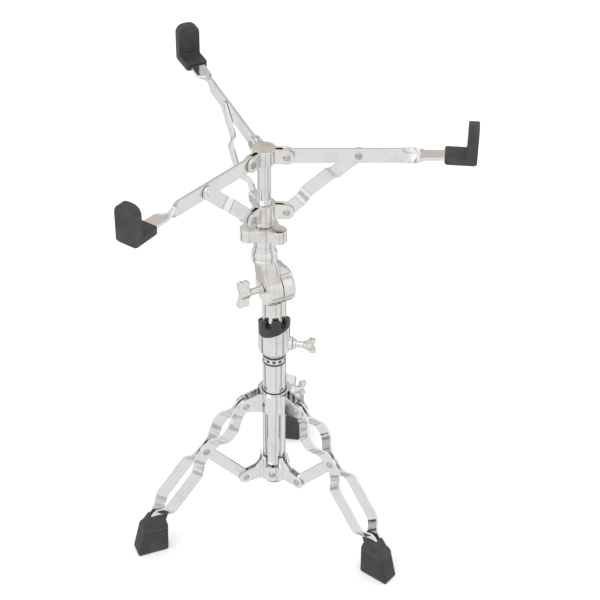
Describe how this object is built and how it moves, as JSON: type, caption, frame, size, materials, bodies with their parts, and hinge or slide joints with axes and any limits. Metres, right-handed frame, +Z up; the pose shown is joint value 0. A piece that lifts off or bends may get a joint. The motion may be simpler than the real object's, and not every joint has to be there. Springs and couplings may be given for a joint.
{
  "type": "snare drum stand",
  "caption": "Folding chrome snare drum stand: a double-braced tripod, a telescopic tube with wing bolts, a geared tilter and a basket of arms with rubber grips.",
  "frame": {"origin": "on the floor, under the axis of the column", "axes": "+Z up the column, +Y over the rear leg, whose azimuth is 90 degrees"},
  "size_m": [0.3475, 0.3707, 0.538],
  "materials": {
    "chrome": "polished",
    "cast_chrome": "polished cast",
    "rivet": "polished",
    "black_rubber": "matte",
    "black_nylon": "satin",
    "marker": "gloss"
  },
  "bodies": {
    "stand_base": {"base_tube": "chrome", "tube_end_cap": "black_rubber", "lower_hub_rivets": "rivet", "lower_hub_pins": "rivet", "height_clamp": "chrome", "height_clamp_crown": "black_nylon", "marker_band": "marker", "lower_hub_plate_1": "chrome", "lower_hub_plate_2": "chrome", "lower_hub_plate_3": "chrome"},
    "height_clamp_wing_bolt": {"height_clamp_wing_bolt": "chrome"},
    "height_glide": {"height_tube_glide": "black_nylon"},
    "height_tube": {"height_tube": "chrome", "tilter_base": "cast_chrome"},
    "tilt_head": {"tilter_head": "cast_chrome", "basket_rod": "chrome", "rod_ferrule": "chrome", "basket_hub": "cast_chrome", "basket_hub_pins": "rivet"},
    "tilter_wing_bolt": {"tilter_wing_bolt": "chrome"},
    "basket_slider": {"basket_slider": "cast_chrome", "basket_slider_pins": "rivet"},
    "basket_nut": {"basket_nut": "cast_chrome"},
    "leg_collar": {"leg_collar": "chrome", "leg_collar_bushing": "black_nylon", "leg_collar_pins": "rivet", "leg_collar_plate_1": "chrome", "leg_collar_plate_2": "chrome", "leg_collar_plate_3": "chrome"},
    "leg_collar_wing_bolt": {"leg_collar_wing_bolt": "chrome"},
    "leg_1": {"leg_1_strap_left": "chrome", "leg_1_strap_right": "chrome", "leg_1_rivets": "rivet", "leg_1_foot": "black_rubber"},
    "leg_brace_1": {"leg_1_brace": "chrome"},
    "arm_1": {"arm_1": "chrome", "arm_1_grip": "black_rubber"},
    "arm_brace_1": {"arm_1_brace": "chrome"},
    "leg_2": {"leg_2_strap_left": "chrome", "leg_2_strap_right": "chrome", "leg_2_rivets": "rivet", "leg_2_foot": "black_rubber"},
    "leg_brace_2": {"leg_2_brace": "chrome"},
    "arm_2": {"arm_2": "chrome", "arm_2_grip": "black_rubber"},
    "arm_brace_2": {"arm_2_brace": "chrome"},
    "leg_3": {"leg_3_strap_left": "chrome", "leg_3_strap_right": "chrome", "leg_3_rivets": "rivet", "leg_3_foot": "black_rubber"},
    "leg_brace_3": {"leg_3_brace": "chrome"},
    "arm_3": {"arm_3": "chrome", "arm_3_grip": "black_rubber"},
    "arm_brace_3": {"arm_3_brace": "chrome"}
  },
  "joints": [
    {"name": "leg_collar_slide", "type": "slide", "parent": "stand_base", "child": "leg_collar", "axis": [0, 0, 1], "range_m": [0, 0.03357]},
    {"name": "leg_1_fold", "type": "hinge", "parent": "leg_collar", "child": "leg_1", "pos_m": [0, 0.035, 0.17796], "axis": [-1, 0, 0], "range_deg": [0, 35.1]},
    {"name": "leg_2_fold", "type": "hinge", "parent": "leg_collar", "child": "leg_2", "pos_m": [-0.03031, -0.0175, 0.17796], "axis": [0.5, -0.866, 0], "range_deg": [0, 35.1]},
    {"name": "leg_3_fold", "type": "hinge", "parent": "leg_collar", "child": "leg_3", "pos_m": [0.03031, -0.0175, 0.17796], "axis": [0.5, 0.866, 0], "range_deg": [0, 35.1]},
    {"name": "leg_brace_1_fold", "type": "hinge", "parent": "stand_base", "child": "leg_brace_1", "pos_m": [0, 0.035, 0.0723], "axis": [1, 0, 0], "range_deg": [0, 35.1]},
    {"name": "leg_brace_2_fold", "type": "hinge", "parent": "stand_base", "child": "leg_brace_2", "pos_m": [-0.03031, -0.0175, 0.0723], "axis": [-0.5, 0.866, 0], "range_deg": [0, 35.1]},
    {"name": "leg_brace_3_fold", "type": "hinge", "parent": "stand_base", "child": "leg_brace_3", "pos_m": [0.03031, -0.0175, 0.0723], "axis": [-0.5, -0.866, 0], "range_deg": [0, 35.1]},
    {"name": "leg_collar_bolt_turn", "type": "hinge", "parent": "leg_collar", "child": "leg_collar_wing_bolt", "pos_m": [0, 0, 0.18096], "axis": [0.866, 0.5, 0], "continuous": true},
    {"name": "height_clamp_bolt_turn", "type": "hinge", "parent": "stand_base", "child": "height_clamp_wing_bolt", "pos_m": [0.02, 0, 0.254], "axis": [1, 0, 0], "continuous": true},
    {"name": "height_slide", "type": "slide", "parent": "stand_base", "child": "height_glide", "axis": [0, 0, 1], "range_m": [0, 0.11]},
    {"name": "height_swivel", "type": "hinge", "parent": "height_glide", "child": "height_tube", "pos_m": [0, 0, 0.084], "axis": [0, 0, 1], "continuous": true},
    {"name": "basket_tilt", "type": "hinge", "parent": "height_tube", "child": "tilt_head", "pos_m": [0, 0, 0.3286], "axis": [0.8192, 0.5736, 0], "range_deg": [-90, 90]},
    {"name": "tilter_bolt_turn", "type": "hinge", "parent": "height_tube", "child": "tilter_wing_bolt", "pos_m": [0, 0, 0.3286], "axis": [0.8192, 0.5736, 0], "continuous": true},
    {"name": "basket_slider_slide", "type": "slide", "parent": "tilt_head", "child": "basket_slider", "axis": [0, 0, 1], "range_m": [0, 0.03064]},
    {"name": "basket_nut_turn", "type": "hinge", "parent": "basket_slider", "child": "basket_nut", "pos_m": [-0.00934, -0.00654, 0.402], "axis": [0, 0, 1], "range_deg": [0, 2748.45]},
    {"name": "arm_1_fold", "type": "hinge", "parent": "tilt_head", "child": "arm_1", "pos_m": [0.01343, -0.00535, 0.4906], "axis": [0.0523, -0.9986, 0], "range_deg": [0, 46.1]},
    {"name": "arm_2_fold", "type": "hinge", "parent": "tilt_head", "child": "arm_2", "pos_m": [-0.02176, 0.01258, 0.4906], "axis": [0.8387, 0.5446, 0], "range_deg": [0, 46.1]},
    {"name": "arm_3_fold", "type": "hinge", "parent": "tilt_head", "child": "arm_3", "pos_m": [-0.01969, -0.02685, 0.4906], "axis": [-0.891, 0.454, 0], "range_deg": [0, 46.1]},
    {"name": "arm_brace_1_fold", "type": "hinge", "parent": "basket_slider", "child": "arm_brace_1", "pos_m": [0.01343, -0.00535, 0.4266], "axis": [0.0523, -0.9986, 0], "range_deg": [0, 18.24]},
    {"name": "arm_brace_2_fold", "type": "hinge", "parent": "basket_slider", "child": "arm_brace_2", "pos_m": [-0.02176, 0.01258, 0.4266], "axis": [0.8387, 0.5446, 0], "range_deg": [0, 18.24]},
    {"name": "arm_brace_3_fold", "type": "hinge", "parent": "basket_slider", "child": "arm_brace_3", "pos_m": [-0.01969, -0.02685, 0.4266], "axis": [-0.891, 0.454, 0], "range_deg": [0, 18.24]}
  ],
  "couplings": [
    {"joint": "leg_1_fold", "follows": "leg_collar_slide", "rad_per_m": 18.195},
    {"joint": "leg_2_fold", "follows": "leg_collar_slide", "rad_per_m": 18.195},
    {"joint": "leg_3_fold", "follows": "leg_collar_slide", "rad_per_m": 18.195},
    {"joint": "leg_brace_1_fold", "follows": "leg_collar_slide", "rad_per_m": 18.195},
    {"joint": "leg_brace_2_fold", "follows": "leg_collar_slide", "rad_per_m": 18.195},
    {"joint": "leg_brace_3_fold", "follows": "leg_collar_slide", "rad_per_m": 18.195},
    {"joint": "basket_slider_slide", "follows": "basket_nut_turn", "m_per_rad": 0.00063662},
    {"joint": "arm_1_fold", "follows": "basket_nut_turn", "ratio": 0.016737},
    {"joint": "arm_2_fold", "follows": "basket_nut_turn", "ratio": 0.016737},
    {"joint": "arm_3_fold", "follows": "basket_nut_turn", "ratio": 0.016737},
    {"joint": "arm_brace_1_fold", "follows": "basket_nut_turn", "ratio": 0.0066007},
    {"joint": "arm_brace_2_fold", "follows": "basket_nut_turn", "ratio": 0.0066007},
    {"joint": "arm_brace_3_fold", "follows": "basket_nut_turn", "ratio": 0.0066007}
  ]
}
